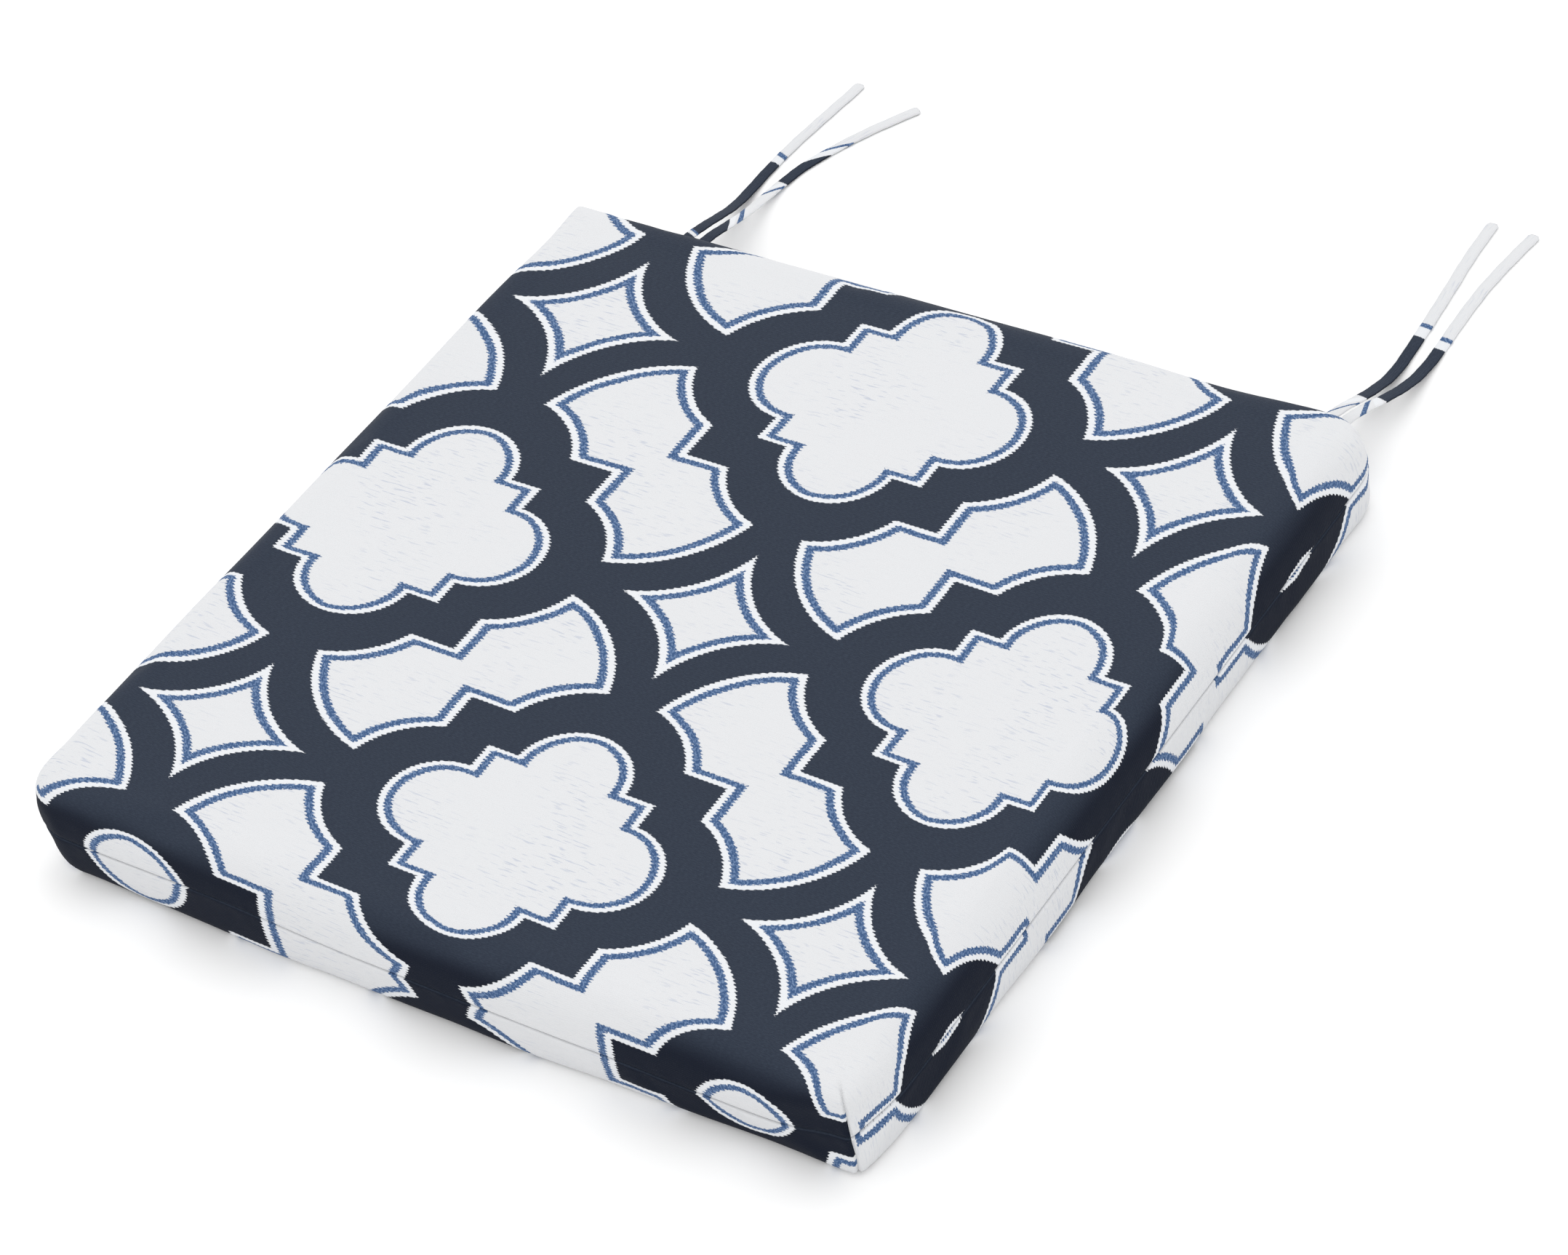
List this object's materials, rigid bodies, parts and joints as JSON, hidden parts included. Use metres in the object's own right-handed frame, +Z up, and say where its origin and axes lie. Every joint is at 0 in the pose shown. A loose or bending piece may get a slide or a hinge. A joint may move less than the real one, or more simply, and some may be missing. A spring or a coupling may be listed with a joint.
{
  "type": "chair seat pad",
  "caption": "Square chair seat pad: wrapped foam slab in a printed fabric cover with darted corners, flat fabric ties and a coil zip in the back seam.",
  "frame": {"origin": "on the surface the pad lies on, under the middle of its covers", "axes": "+Z up, +X to the sitter's right seen from the front, +Y to the back edge with the ties"},
  "size_m": [0.47, 0.6741, 0.055],
  "materials": {
    "cover_fabric": "woven, matte, navy and off-white trellis print",
    "tie_fabric": "the cover's own fabric, folded and sewn flat",
    "fibre_wrap": "lofted fibre",
    "foam": "open cell foam",
    "zip_tape": "narrow woven tape",
    "zip_coil": "satin nylon",
    "zip_metal": "enamelled die casting"
  },
  "bodies": {
    "pad": {"top_cover": "cover_fabric", "bottom_cover": "cover_fabric", "batting_top": "fibre_wrap", "batting_bottom": "fibre_wrap", "foam_core": "foam", "zip_tape_upper": "zip_tape", "zip_tape_lower": "zip_tape", "zip_teeth_upper": "zip_coil", "zip_teeth_lower": "zip_coil", "zip_stop_left": "zip_metal", "zip_stop_right": "zip_metal", "tie_left_outer": "tie_fabric", "tie_left_inner": "tie_fabric", "tie_right_inner": "tie_fabric", "tie_right_outer": "tie_fabric"},
    "zip_runner": {"zip_slider": "zip_metal"},
    "zip_pull": {"zip_pull_tab": "zip_metal"}
  },
  "joints": [
    {"name": "zip_slide", "type": "slide", "parent": "pad", "child": "zip_runner", "axis": [-1, 0, 0], "range_m": [0, 0.29]},
    {"name": "pull_hinge", "type": "hinge", "parent": "zip_runner", "child": "zip_pull", "pos_m": [0.1555, 0.2356, 0.0255], "axis": [0, 0, -1], "range_deg": [0, 170]}
  ]
}
